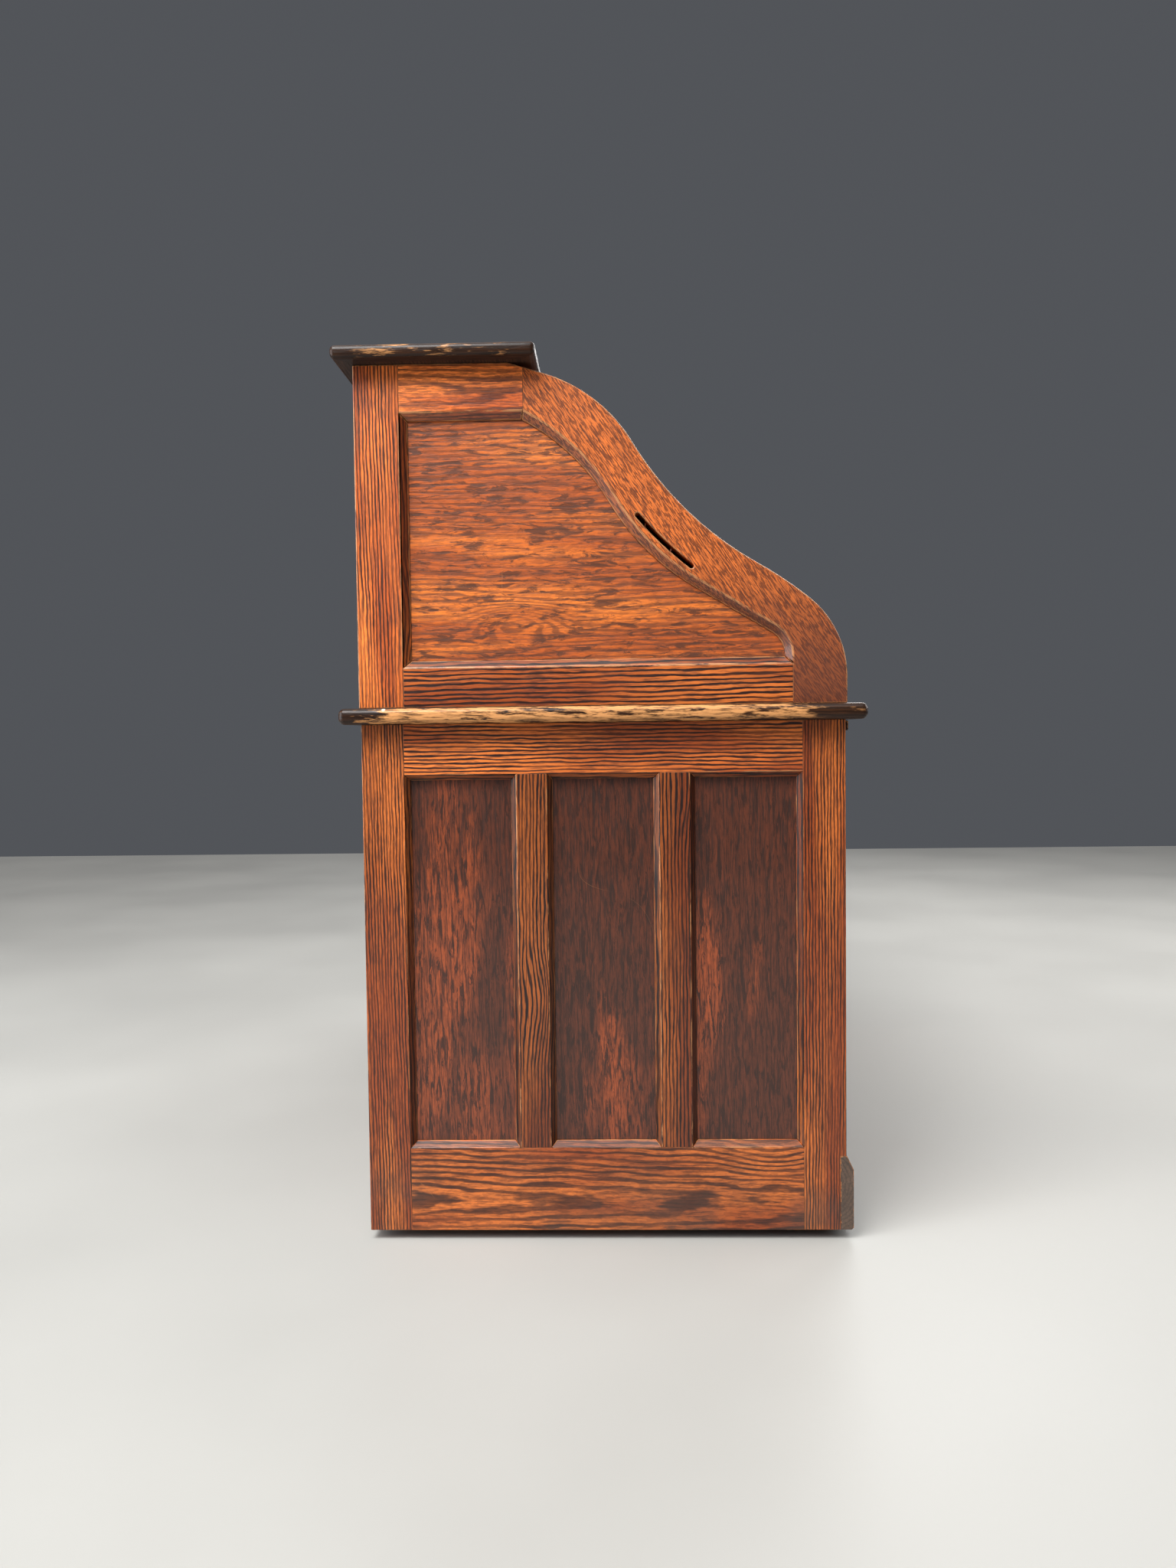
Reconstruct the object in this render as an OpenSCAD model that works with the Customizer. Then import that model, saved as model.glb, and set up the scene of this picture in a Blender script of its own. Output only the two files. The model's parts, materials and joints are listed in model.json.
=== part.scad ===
// Roll top desk with two pedestals, an S-shaped slatted roll and a gallery of pigeonholes.
// X runs along the width, the user's side faces -Y, Z is up, and the floor is z = 0.

/* [Overall size] */
// Width of the writing top
desk_w = 1372; // [1250:1:1600]
// Depth of the writing top, front to back
desk_d = 748; // [740:1:760]
// Height of the writing top's upper face above the floor
desk_h = 776; // [770:1:800]
// Thickness of the writing top
top_t = 23; // [20:1:28]
// Overhang of the writing top past each end
end_overhang = 28; // [20:1:40]
// Depth of the lower case
case_d = 693; // [690:1:700]
// Width of each pedestal
pedestal_w = 400; // [360:1:440]

/* [Frames and panels] */
// Thickness of the end frames
end_t = 24; // [24:1:28]
// Width of the end stiles
stile_w = 61; // [50:1:70]
// Width of the muntins between the end panels
muntin_w = 44; // [36:1:50]
// Height of the end frame's top rail
top_rail_h = 73; // [60:1:80]
// Height of the end frame's bottom rail
bottom_rail_h = 122; // [110:1:130]
// Width of the sloping edge round each end panel
sticking_w = 8; // [6:1:11]
// Depth of the panels below the frame's face
panel_sink = 12; // [10:1:12]

/* [Roll] */
// Height of the gables above the writing top
gable_h = 487; // [487:1:495]
// Thickness of the gables
gable_t = 26; // [24:1:28]
// Height of the lift rail along the track
lift_rail_h = 60.5; // [58:0.5:61]
// Pitch of the slats along the track
slat_pitch = 20.5; // [20:0.1:20.6]
// Space between two slats
slat_gap = 2.6; // [1.5:0.1:3]

/* [Drawers] */
// Play round a drawer front in its opening
front_play = 1.5; // [1:0.5:3]
// Distance between a pedestal drawer's two knobs
knob_space = 130; // [110:1:220]

/* [Hidden] */
$fn = 48;
joint_gap = 0.25;        // joint line between two glued members
glide_h = 14;            // the desk stands this high on its glides
glide_r = 16;
glide_foot = 4;          // height and width of the taper at a glide's foot
glide_inset = [45, 60];
end_x = desk_w / 2 - end_overhang;
end_in = end_x - end_t;
case_y = case_d / 2;
case_top = desk_h - top_t;
top_round = 9;

// Lower end frame: three openings side by side
opening_w = (case_d - 2 * stile_w - 2 * muntin_w) / 3;
opening_z0 = glide_h + bottom_rail_h;
opening_z1 = case_top - top_rail_h;
panel_t = 8;
tongue = 7;              // how far a panel enters its groove
panel_play = 0.3;
panel_step = 2;          // the sloping edge ends this far in front of the panel

// Plinth
plinth_h = 108;
plinth_t = 19;
plinth_proud = 10.5;
plinth_y = case_y + plinth_proud;
plinth_in = plinth_y - plinth_t;
plinth_chamfer = [9.5, 20];
plinth_foot = 3;         // small chamfer along the plinth's lower edge

// Pedestals
side_t = 20;
knee_x = end_x - pedestal_w;
bay_x0 = knee_x + side_t;
bay_w = end_in - bay_x0;
bay_mid = (bay_x0 + end_in) / 2;
rail_t = 14;
rail_setback = 1;
floor_z = plinth_h + glide_h;
slide_t = 14.5;
slide_over = 1.5;        // space over a writing slide
slide_under = 0.5;
slide_z = case_top - slide_over - slide_t;
slide_proud = 9;
slide_d = 520;
slide_cleat = 45;        // the crosswise board along a slide's front
slide_line = [1.5, 1];   // width and depth of the line between the two
bays_top = slide_z - slide_under - rail_t;
drawer_pitch = (bays_top - floor_z + rail_t) / 4;
drawer_h = drawer_pitch - rail_t;
back_t = 20;
front_t = 19;
box_d = 580;
box_side = 12;
box_bottom = 6;
box_play = 5;
box_lift = 0.2;
knee_drawer_h = 76;      // height of the space over the kneehole
knee_drawer_d = 470;
knee_box_play = 8;
knee_play = 0.8;
cleat_h = 8;
cleat_w = 22;
cleat_setback = 6;

// Gables: the front edge is an S of arcs, from the writing top up to the top board.
// Each piece of an edge is [length, curvature], walked with the heading in degrees above +Y.
function arc(radius, sweep) = [radius * sweep * PI / 180, 1 / radius];
function hollow(radius, sweep) = [radius * sweep * PI / 180, -1 / radius];
function straight(length) = [length, 0];
function advance(p, s, k) = let (turn = s * k * 180 / PI) k == 0
    ? [p[0] + s * cos(p[2]), p[1] + s * sin(p[2]), p[2]]
    : [p[0] + (sin(p[2]) - sin(p[2] - turn)) / k, p[1] + (cos(p[2] - turn) - cos(p[2])) / k, p[2] - turn];
function pose_at(start, run, s, i = 0) = i == len(run) - 1 || s <= run[i][0]
    ? advance(start, s, run[i][1])
    : pose_at(advance(start, run[i][0], run[i][1]), run, s - run[i][0], i + 1);
function run_length(run) = len(run) == 0 ? 0 : [for (piece = run) piece[0]] * [for (piece = run) 1];
function side_step(p, d) = [p[0] - d * sin(p[2]), p[1] + d * cos(p[2])];

gable_front = -case_y - 3;
gable_back = case_y + 2.5;
gable_top = desk_h + gable_h;
foot_h = 39;             // upright part at the bottom of the S
foot_r = 143;
foot_sweep = 51.4;
belly_r = 592;
belly_sweep = 8.6;
hollow_r = 490;
hollow_sweep = 29;
brow_r = 224;
brow_sweep = 41.7;
brow_heading = 90 - foot_sweep - belly_sweep + hollow_sweep - brow_sweep;
s_start = [gable_front, desk_h, 90];
s_run = [straight(foot_h), arc(foot_r, foot_sweep), arc(belly_r, belly_sweep),
         hollow(hollow_r, hollow_sweep), arc(brow_r, brow_sweep)];
s_length = run_length(s_run);
s_steps = 66;
s_end = pose_at(s_start, s_run, s_length);
s_edge = [for (i = [0:s_steps]) let (p = pose_at(s_start, s_run, s_length * i / s_steps)) [p[0], p[1]]];
brow_y = s_end[0] + (gable_top - s_end[1]) / tan(brow_heading);

// Gable opening: straight back and bottom, its front edge a second, gentler S
stile_joint_y = 107;
gable_stile_w = 65;
gable_open_z0 = desk_h + 57.5;
gable_open_z1 = gable_top - 68;
gable_open_back = gable_back - gable_stile_w;
inner_start_dip = 28;
inner_start = [stile_joint_y, gable_open_z1, 180 + inner_start_dip];
inner_brow_r = 332;
inner_brow_sweep = 31.5;
inner_hollow_r = 331;
inner_hollow_sweep = 28.6;
inner_straight = 129;
inner_foot_r = 48;
inner_foot_sweep = 90 - inner_start_dip - inner_brow_sweep + inner_hollow_sweep;
inner_run = [hollow(inner_brow_r, inner_brow_sweep), arc(inner_hollow_r, inner_hollow_sweep),
             straight(inner_straight), hollow(inner_foot_r, inner_foot_sweep)];
inner_length = run_length(inner_run);
inner_steps = 44;
inner_edge = [for (i = [0:inner_steps])
    let (p = pose_at(inner_start, inner_run, inner_length * i / inner_steps)) [p[0], p[1]]];
inner_end = inner_edge[inner_steps];
gable_opening = concat([[inner_end[0], gable_open_z0], [gable_open_back, gable_open_z0],
                        [gable_open_back, gable_open_z1]], inner_edge);
gable_sticking_w = 10.5;

// Letter slot through the left curved stile, a band that follows the hollow of the S
slot_w = 7;
slot_in = 55.5;
slot_from = 421;         // its two ends, along the S from the writing top
slot_to = 327;
slot_steps = 6;
slot_edge = [for (i = [0:slot_steps])
    pose_at(s_start, s_run, slot_from + (slot_to - slot_from) * i / slot_steps)];

// Track of the roll, from the writing top over the gallery and down behind it
track_in = 12;
track_drop = 10;
track_ease_r = 200;
track_back_r = 92;
track_back_y = 292;
track_tail = 390;
groove_w = 13;
groove_depth = 7;
track_start = [gable_front + track_in, desk_h, 90];
s_track = [straight(foot_h), arc(foot_r - track_in, foot_sweep), arc(belly_r - track_in, belly_sweep),
           hollow(hollow_r + track_in, hollow_sweep), arc(brow_r - track_in, brow_sweep)];
track_brow = pose_at(track_start, s_track, run_length(s_track));
track_rise = gable_top - track_drop - track_brow[1] - track_ease_r * (1 - cos(brow_heading));
track_slope = straight(track_rise / sin(brow_heading));
track_flat_y = track_brow[0] + track_slope[0] * cos(brow_heading) + track_ease_r * sin(brow_heading);
track_run = concat(s_track, [track_slope, arc(track_ease_r, brow_heading),
    straight(track_back_y - track_back_r - track_flat_y), arc(track_back_r, 90), straight(track_tail)]);
track_length = run_length(track_run);
groove_steps = 72;

// Roll: a lift rail and groups of three slats on canvas
roll_clear = 1;
roll_start = 2;
rail_out = 9;
rail_in = 4.5;
slat_out = 4.5;
slat_in = 4.5;
slat_edge = 1.5;         // thickness of a slat's edge outward of the track line
slat_round = 3.5;
canvas_t = 1.2;
canvas_end = 0.1;        // the canvas of a group ends this far inside its slats
glue_bed = 0.3;
slat_back = canvas_t - slat_in - glue_bed;
groups = 10;
per_group = 3;
roll_half = end_x - gable_t - roll_clear;
group_steps = 6;
lift_rail_steps = 5;

// Upper back and top board
upper_back_t = 14.5;
upper_sink = 5;
upper_panel_t = 5;
upper_rail_h = 60;
board_t = 19;
board_front = 87;
board_back = desk_d / 2;
board_over = 34;
board_round = 7.5;

// Gallery
gallery_front = 95;
gallery_back = 268;
gallery_back_t = 4;
gallery_in_back = gallery_back - gallery_back_t;
gallery_top = 1095;
gallery_half = 626;
gallery_t = 9;
partition_setback = 4;
drawer_setback = 6;
shelf_setback = 8;
bay_lines = [150, 308, 466];
shelf_lines = [885, 990];
small_play = 0.8;
small_side = 7;
small_bottom = 5;
small_box_play = 1;
small_front = 9;
small_back_play = 4;

// Knobs and lock
small_knob_r = 8;
small_knob_proud = 14;
knob_r = 17;
knob_proud = 22;
centre_knob_space = 1.3 * knob_space;
lift_knob_r = 14;
lift_knob_proud = 20;
lift_knob_x = 230;
lift_knob_up = 24;       // height of the knobs above the roll's lower edge, along the track
lock_r = 17;
lock_t = 2.5;
key_r = 3.2;
key_depth = 1.7;
key_w = 2.6;
key_h = 10;

// ---- helpers ----

// A board given by its two opposite corners
module board(low, high) {
    translate(low) cube(high - low);
}

// Extrudes a shape drawn in (y, z) along X from x0
module along_x(x0, length) {
    translate([x0, 0, 0]) rotate([90, 0, 90]) linear_extrude(length) children();
}

// Both ends of the desk: the child and its mirror image
module both_ends() {
    children();
    mirror([1, 0, 0]) children();
}

function unit(v) = v / norm(v);
function left_normal(a, b) = let (d = unit(b - a)) [-d[1], d[0]];
// Moves every corner of an anticlockwise outline inward by d, with mitred corners
function inset(outline, d) = let (n = len(outline)) [for (i = [0:n - 1])
    let (a = outline[(i + n - 1) % n], b = outline[i], c = outline[(i + 1) % n],
         n1 = left_normal(a, b), n2 = left_normal(b, c))
    b + (n1 + n2) * d / (1 + n1 * n2)];
function rect(y0, z0, y1, z1) = [[y0, z0], [y1, z0], [y1, z1], [y0, z1]];

// The sloping edge round an opening, as the solid to cut away: from the face at x = 0 to x = drop
module sloped_cut(outline, width, drop) {
    lead = 1;
    outer = inset(outline, -width * lead / drop);
    inner = inset(outline, width);
    n = len(outline);
    polyhedron(
        points = concat([for (p = outer) [-lead, p[0], p[1]]], [for (p = inner) [drop, p[0], p[1]]]),
        faces = concat([[for (i = [0:n - 1]) i]], [[for (i = [0:n - 1]) 2 * n - 1 - i]],
            [for (i = [0:n - 1]) [i, n + i, n + (i + 1) % n, (i + 1) % n]]));
}

// All that a panel's opening takes out of a frame whose face is at x = 0
module panel_cut(outline, width, sink, thick, frame_t) {
    sloped_cut(outline, width, sink - panel_step);
    along_x(sink - panel_step - 1, frame_t + panel_step + 2 - sink) polygon(inset(outline, width));
    along_x(sink, thick) polygon(inset(outline, width - tongue));
}

// The panel itself, loose in its groove
module panel(outline, width, sink, thick) {
    along_x(sink, thick) polygon(inset(outline, width - tongue + panel_play));
}

// A joint line from a to b in a frame's plane
module seam(a, b) {
    d = unit(b - a);
    w = [-d[1], d[0]] * joint_gap / 2;
    polygon([a - w - d * joint_gap, b - w + d * joint_gap, b + w + d * joint_gap, a + w - d * joint_gap]);
}

// The mitres at an opening's corners
module mitres(outline, width, corners) {
    inner = inset(outline, width);
    for (i = corners) seam(outline[i], inner[i]);
}

// All joint lines of a frame from z0 up to z1 whose openings stand side by side
module frame_seams(openings, width, z0, z1) {
    last = len(openings) - 1;
    low = openings[0][0][1];
    high = openings[0][2][1];
    for (opening = openings) mitres(opening, width, [0:3]);
    for (y = [openings[0][0][0], openings[last][1][0]]) {
        seam([y, z0], [y, low]);
        seam([y, high], [y, z1]);
    }
    for (i = [0:last - 1], z = [low, high])
        seam([openings[i][1][0], z], [openings[i + 1][0][0], z]);
}

// A board with rounded edges all round, its lower face at z = 0
module bullnose_board(x, y, t, r) {
    intersection() {
        along_x(x[0], x[1] - x[0]) rounded_section(y[0], y[1], t, r);
        translate([0, y[1] + 1, 0]) rotate([90, 0, 0])
            linear_extrude(y[1] - y[0] + 2) rounded_section(x[0], x[1], t, r);
    }
}

module rounded_section(a, b, t, r) {
    translate([a + r, 0]) square([b - a - 2 * r, t]);
    translate([a, r]) square([b - a, t - 2 * r]);
    for (u = [a + r, b - r], v = [r, t - r]) translate([u, v]) circle(r);
}

// ---- lower case ----

end_openings = [for (i = [0:2]) let (y0 = -case_y + stile_w + i * (opening_w + muntin_w))
    rect(y0, opening_z0, y0 + opening_w, opening_z1)];

module end_frame() {
    color([0.36, 0.13, 0.06]) translate([-end_x, 0, 0]) difference() {
        along_x(0, end_t) polygon(rect(-case_y, glide_h, case_y, case_top));
        for (opening = end_openings) panel_cut(opening, sticking_w, panel_sink, panel_t, end_t);
        along_x(-1, end_t + 2) frame_seams(end_openings, sticking_w, glide_h, case_top);
        board([-1, -plinth_y, 0], [end_t + 1, -plinth_in, floor_z]);
    }
}

module left_end_frame() { end_frame(); }
module right_end_frame() { mirror([1, 0, 0]) end_frame(); }

module end_panels() {
    color([0.22, 0.09, 0.06]) both_ends() translate([-end_x, 0, 0])
        for (opening = end_openings) panel(opening, sticking_w, panel_sink, panel_t);
}

// Back frames are drawn with the outline's first axis along X and face +Y
module facing_back(y) {
    translate([0, y, 0]) rotate([0, 0, -90]) children();
}

back_panels = 5;
back_w = 2 * end_in;
back_open_w = (back_w - 2 * stile_w - (back_panels - 1) * muntin_w) / back_panels;
back_openings = [for (i = [0:back_panels - 1]) let (x0 = -end_in + stile_w + i * (back_open_w + muntin_w))
    rect(x0, opening_z0, x0 + back_open_w, opening_z1)];
back_sink = 9;
back_sticking = 7;

module lower_back_frame() {
    color([0.3, 0.12, 0.06]) facing_back(case_y) difference() {
        along_x(0, back_t) polygon(rect(-end_in, glide_h, end_in, case_top));
        for (opening = back_openings) panel_cut(opening, back_sticking, back_sink, panel_t, back_t);
        along_x(-1, back_t + 2) frame_seams(back_openings, back_sticking, glide_h, case_top);
    }
}

module lower_back_panels() {
    color([0.25, 0.1, 0.06]) facing_back(case_y)
        for (opening = back_openings) panel(opening, back_sticking, back_sink, panel_t);
}

module kneehole_sides() {
    color([0.3, 0.12, 0.06]) both_ends() difference() {
        board([knee_x, -case_y, glide_h], [bay_x0, case_y - back_t, case_top]);
        board([knee_x - 1, -plinth_y, 0], [bay_x0 + 1, -plinth_in, floor_z]);
    }
}

// Boards across a bay, one under each drawer and one under the writing slide; the lowest starts
// behind the plinth
module dust_boards(levels) {
    for (z = levels)
        board([bay_x0, z == floor_z ? -plinth_in : rail_setback - case_y, z - rail_t],
            [end_in, case_y - back_t, z]);
}

left_levels = concat([for (i = [0:3]) floor_z + i * drawer_pitch], [bays_top + rail_t]);
right_levels = [for (i = [0, 2, 3, 4]) left_levels[i]];

module left_dust_boards() {
    color([0.33, 0.16, 0.08]) mirror([1, 0, 0]) dust_boards(left_levels);
}

module right_dust_boards() {
    color([0.33, 0.16, 0.08]) dust_boards(right_levels);
}

module plinths() {
    color([0.16, 0.09, 0.06]) both_ends() along_x(knee_x, pedestal_w) polygon([
        [-plinth_in, glide_h], [-plinth_in, floor_z], [plinth_chamfer[0] - plinth_y, floor_z],
        [-plinth_y, floor_z - plinth_chamfer[1]], [-plinth_y, glide_h + plinth_foot],
        [plinth_foot - plinth_y, glide_h]]);
}

module glides() {
    y = case_y - glide_inset[1];
    color([0.12, 0.12, 0.12]) both_ends()
        for (x = [knee_x + glide_inset[0], end_x - glide_inset[0]], side = [-1, 1])
            translate([x, side * y, 0]) {
                translate([0, 0, glide_foot]) cylinder(r = glide_r, h = glide_h - glide_foot);
                cylinder(r1 = glide_r - glide_foot, r2 = glide_r, h = glide_foot);
            }
}

module centre_cleats() {
    z = centre_z - box_lift;
    color([0.33, 0.16, 0.08]) both_ends()
        board([knee_x - cleat_w, front_t + cleat_setback - case_y, z - cleat_h],
            [knee_x, case_y - back_t, z]);
}

module writing_top() {
    color([0.28, 0.13, 0.07]) translate([0, 0, case_top])
        bullnose_board([-desk_w / 2, desk_w / 2], [-desk_d / 2, desk_d / 2], top_t, top_round);
}

// ---- drawers and slides ----

// A drawer with its front's lower left corner at the origin, the front's face at y = 0
module drawer(w, h, d, side, bottom, play, wall_front) {
    box_w = w - 2 * play;
    box_h = h - 2 * play;
    board([0, 0, 0], [w, wall_front, h]);
    translate([play, 0, box_lift]) difference() {
        board([0, wall_front, 0], [box_w, d, box_h]);
        board([side, wall_front - 1, bottom], [box_w - side, d - side, h]);
    }
}

module pedestal_drawer(z, h) {
    color([0.34, 0.13, 0.06]) translate([bay_x0 + front_play, -case_y, z + front_play / 2])
        drawer(bay_w - 2 * front_play, h - front_play, box_d, box_side, box_bottom, box_play, front_t);
}

// A turned knob whose foot is on the plane y = 0 at the origin: a neck, a flared head and a domed face
module turned_knob(r, proud) {
    neck = proud * 0.42;
    rim = proud * 0.74;
    rotate([90, 0, 0]) rotate_extrude() polygon([[0, 0], [r * 0.72, 0], [r * 0.72, proud * 0.08],
        [r * 0.42, neck * 0.5], [r * 0.42, neck], [r * 0.86, rim - proud * 0.1], [r, rim],
        [r * 0.9, proud * 0.9], [r * 0.5, proud * 0.98], [0, proud]]);
}

module pedestal_knobs(z, h) {
    color([0.2, 0.08, 0.04])
        for (x = [-knob_space / 2, knob_space / 2])
            translate([bay_mid + x, -case_y, z + h / 2]) turned_knob(knob_r, knob_proud);
}

// Drawers are numbered from the top; the right pedestal's lowest is a double one for files
function left_z(i) = left_levels[4 - i];
function right_z(i) = i == 3 ? left_levels[0] : left_levels[4 - i];
function right_h(i) = i == 3 ? drawer_pitch + drawer_h : drawer_h;

module left_drawer(i) { mirror([1, 0, 0]) pedestal_drawer(left_z(i), drawer_h); }
module left_knobs(i) { mirror([1, 0, 0]) pedestal_knobs(left_z(i), drawer_h); }
module right_drawer(i) { pedestal_drawer(right_z(i), right_h(i)); }
module right_knobs(i) { pedestal_knobs(right_z(i), right_h(i)); }

centre_z = case_top - knee_drawer_h - knee_play;
centre_h = knee_drawer_h - 1;

module centre_drawer() {
    color([0.34, 0.13, 0.06]) translate([-knee_x + front_play, -case_y, centre_z])
        drawer(2 * (knee_x - front_play), centre_h, knee_drawer_d, box_side, box_bottom, knee_box_play,
            front_t);
}

module centre_knobs() {
    color([0.2, 0.08, 0.04])
        for (x = [-centre_knob_space / 2, centre_knob_space / 2])
            translate([x, -case_y, centre_z + centre_h / 2]) turned_knob(knob_r, knob_proud);
}

module writing_slide() {
    y0 = -case_y - slide_proud;
    line_y = y0 + slide_cleat;
    top = slide_z + slide_t;
    color([0.14, 0.08, 0.06]) difference() {
        board([bay_x0 + front_play, y0, slide_z], [end_in - front_play, y0 + slide_d, top]);
        board([bay_x0, line_y, top - slide_line[1]], [end_in, line_y + slide_line[0], top + 1]);
    }
}

module left_writing_slide() { mirror([1, 0, 0]) writing_slide(); }
module right_writing_slide() { writing_slide(); }

// ---- upper case ----

gable_outline = concat([[gable_back, desk_h], [gable_back, gable_top], [brow_y, gable_top]],
    [for (i = [s_steps:-1:0]) s_edge[i]]);

module gable_seams() {
    corners = [0, 1, 2, 3];
    mitres(gable_opening, gable_sticking_w, corners);
    seam([gable_open_back, desk_h], gable_opening[1]);
    seam(gable_opening[2], [gable_open_back, gable_top]);
    seam(gable_opening[3], [stile_joint_y, gable_top]);
    seam([inner_end[0], desk_h], gable_opening[0]);
}

module track_groove() {
    poses = [for (i = [0:groove_steps]) pose_at(track_start, track_run, track_length * i / groove_steps)];
    polygon(concat([for (p = poses) side_step(p, groove_w / 2)],
        [for (i = [groove_steps:-1:0]) side_step(poses[i], -groove_w / 2)]));
}

module letter_slot() {
    polygon(concat([for (p = slot_edge) side_step(p, -slot_in + slot_w / 2)],
        [for (i = [slot_steps:-1:0]) side_step(slot_edge[i], -slot_in - slot_w / 2)]));
    for (p = [slot_edge[0], slot_edge[slot_steps]]) translate(side_step(p, -slot_in)) circle(slot_w / 2);
}

module gable(with_slot) {
    color([0.38, 0.14, 0.06]) translate([-end_x, 0, 0]) difference() {
        along_x(0, gable_t) polygon(gable_outline);
        panel_cut(gable_opening, gable_sticking_w, panel_sink, panel_t, gable_t);
        along_x(gable_t - groove_depth, groove_depth + 1) track_groove();
        along_x(-1, gable_t + 2) gable_seams();
        if (with_slot) along_x(-1, gable_t + 2) letter_slot();
    }
}

module left_gable() { gable(true); }
module right_gable() { mirror([1, 0, 0]) gable(false); }

module gable_panels() {
    color([0.45, 0.18, 0.08]) both_ends() translate([-end_x, 0, 0])
        panel(gable_opening, gable_sticking_w, panel_sink, panel_t);
}

upper_half = end_x - gable_t;
upper_panels = 3;
upper_open_w = (2 * upper_half - 2 * stile_w - (upper_panels - 1) * muntin_w) / upper_panels;
upper_openings = [for (i = [0:upper_panels - 1])
    let (x0 = -upper_half + stile_w + i * (upper_open_w + muntin_w))
    rect(x0, desk_h + upper_rail_h, x0 + upper_open_w, gable_top - upper_rail_h)];

module upper_back_frame() {
    color([0.3, 0.12, 0.06]) facing_back(gable_back) difference() {
        along_x(0, upper_back_t) polygon(rect(-upper_half, desk_h, upper_half, gable_top));
        for (opening = upper_openings)
            panel_cut(opening, back_sticking, upper_sink, upper_panel_t, upper_back_t);
        along_x(-1, upper_back_t + 2) frame_seams(upper_openings, back_sticking, desk_h, gable_top);
    }
}

module upper_back_panels() {
    color([0.25, 0.1, 0.06]) facing_back(gable_back)
        for (opening = upper_openings) panel(opening, back_sticking, upper_sink, upper_panel_t);
}

module top_board() {
    half = end_x + board_over;
    color([0.16, 0.09, 0.06]) translate([0, 0, gable_top])
        bullnose_board([-half, half], [board_front, board_back], board_t, board_round);
}

// ---- gallery ----

gallery_z0 = desk_h + gallery_t;
gallery_z1 = gallery_top - gallery_t;

module gallery_case() {
    color([0.36, 0.18, 0.09]) {
        board([-gallery_half, gallery_front, desk_h], [gallery_half, gallery_back, gallery_z0]);
        board([-gallery_half, gallery_front, gallery_z1], [gallery_half, gallery_back, gallery_top]);
        both_ends() board([gallery_half - gallery_t, gallery_front, gallery_z0 + joint_gap],
            [gallery_half, gallery_back, gallery_z1 - joint_gap]);
    }
}

module gallery_partitions() {
    color([0.36, 0.18, 0.09]) both_ends() for (x = bay_lines)
        board([x - gallery_t, gallery_front + partition_setback, gallery_z0],
            [x, gallery_in_back, gallery_z1]);
}

module gallery_back_board() {
    half = gallery_half - gallery_t - joint_gap;
    color([0.36, 0.18, 0.09]) board([-half, gallery_in_back, gallery_z0 + joint_gap],
        [half, gallery_back, gallery_z1 - joint_gap]);
}

bay_edges = concat(bay_lines, [gallery_half]);

module gallery_shelf(i, z) {
    board([bay_edges[i], gallery_front + shelf_setback, z - gallery_t],
        [bay_edges[i + 1] - gallery_t, gallery_in_back, z]);
}

module gallery_shelves() {
    color([0.36, 0.18, 0.09]) both_ends() {
        for (i = [0, 2], z = shelf_lines) gallery_shelf(i, z);
        gallery_shelf(1, shelf_lines[0]);
    }
}

small_drawer_w = bay_edges[2] - gallery_t - bay_edges[1] - 2 * small_play;
small_drawer_h = shelf_lines[0] - gallery_t - gallery_z0 - 2 * small_play;
small_drawer_d = gallery_in_back - gallery_front - drawer_setback - small_back_play;

module small_drawer() {
    corner = [bay_edges[1] + small_play, gallery_front + drawer_setback, gallery_z0 + small_play];
    color([0.34, 0.13, 0.06]) translate(corner)
        drawer(small_drawer_w, small_drawer_h, small_drawer_d, small_side, small_bottom, small_box_play,
            small_front);
}

module small_knob() {
    x = bay_edges[1] + small_play + small_drawer_w / 2;
    z = gallery_z0 + small_play + small_drawer_h / 2;
    color([0.7, 0.55, 0.25]) translate([x, gallery_front + drawer_setback, z])
        turned_knob(small_knob_r, small_knob_proud);
}

module gallery_drawer_left() { mirror([1, 0, 0]) small_drawer(); }
module gallery_drawer_right() { small_drawer(); }
module gallery_knob_left() { mirror([1, 0, 0]) small_knob(); }
module gallery_knob_right() { small_knob(); }

// ---- roll ----

// A strip of the roll between two places on the track, from d0 inside the track line to d1 outside it
module track_strip(s0, s1, d0, d1, steps) {
    poses = [for (i = [0:steps]) pose_at(track_start, track_run, s0 + (s1 - s0) * i / steps)];
    polygon(concat([for (p = poses) side_step(p, d1)], [for (i = [steps:-1:0]) side_step(poses[i], d0)]));
}

module lift_rail() {
    color([0.24, 0.11, 0.06]) along_x(-roll_half, 2 * roll_half)
        track_strip(roll_start + slat_gap / 2, roll_start + lift_rail_h, -rail_in, rail_out, lift_rail_steps);
}

rail_mid = pose_at(track_start, track_run, lift_knob_up);
rail_face = side_step(rail_mid, rail_out);

module lift_knobs() {
    color([0.2, 0.08, 0.04]) both_ends()
        translate([lift_knob_x, rail_face[0], rail_face[1]]) turned_knob(lift_knob_r, lift_knob_proud);
}

module roll_lock() {
    color([0.7, 0.55, 0.25]) translate([0, rail_face[0], rail_face[1]]) rotate([90, 0, 0]) difference() {
        cylinder(r = lock_r, h = lock_t);
        translate([0, key_r / 2, lock_t - key_depth]) cylinder(r = key_r, h = key_depth + 1);
        board([-key_w / 2, key_r / 2 - key_h, lock_t - key_depth], [key_w / 2, key_r / 2, lock_t + 1]);
    }
}

// One slat in cross-section: flat on the canvas side, its outer corners bevelled
module slat_section(s) {
    p = pose_at(track_start, track_run, s);
    half = (slat_pitch - slat_gap) / 2;
    translate([p[0], p[1]]) rotate(p[2]) polygon([[-half, slat_back], [half, slat_back],
        [half, slat_edge], [half - slat_round, slat_out], [slat_round - half, slat_out], [-half, slat_edge]]);
}

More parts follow.
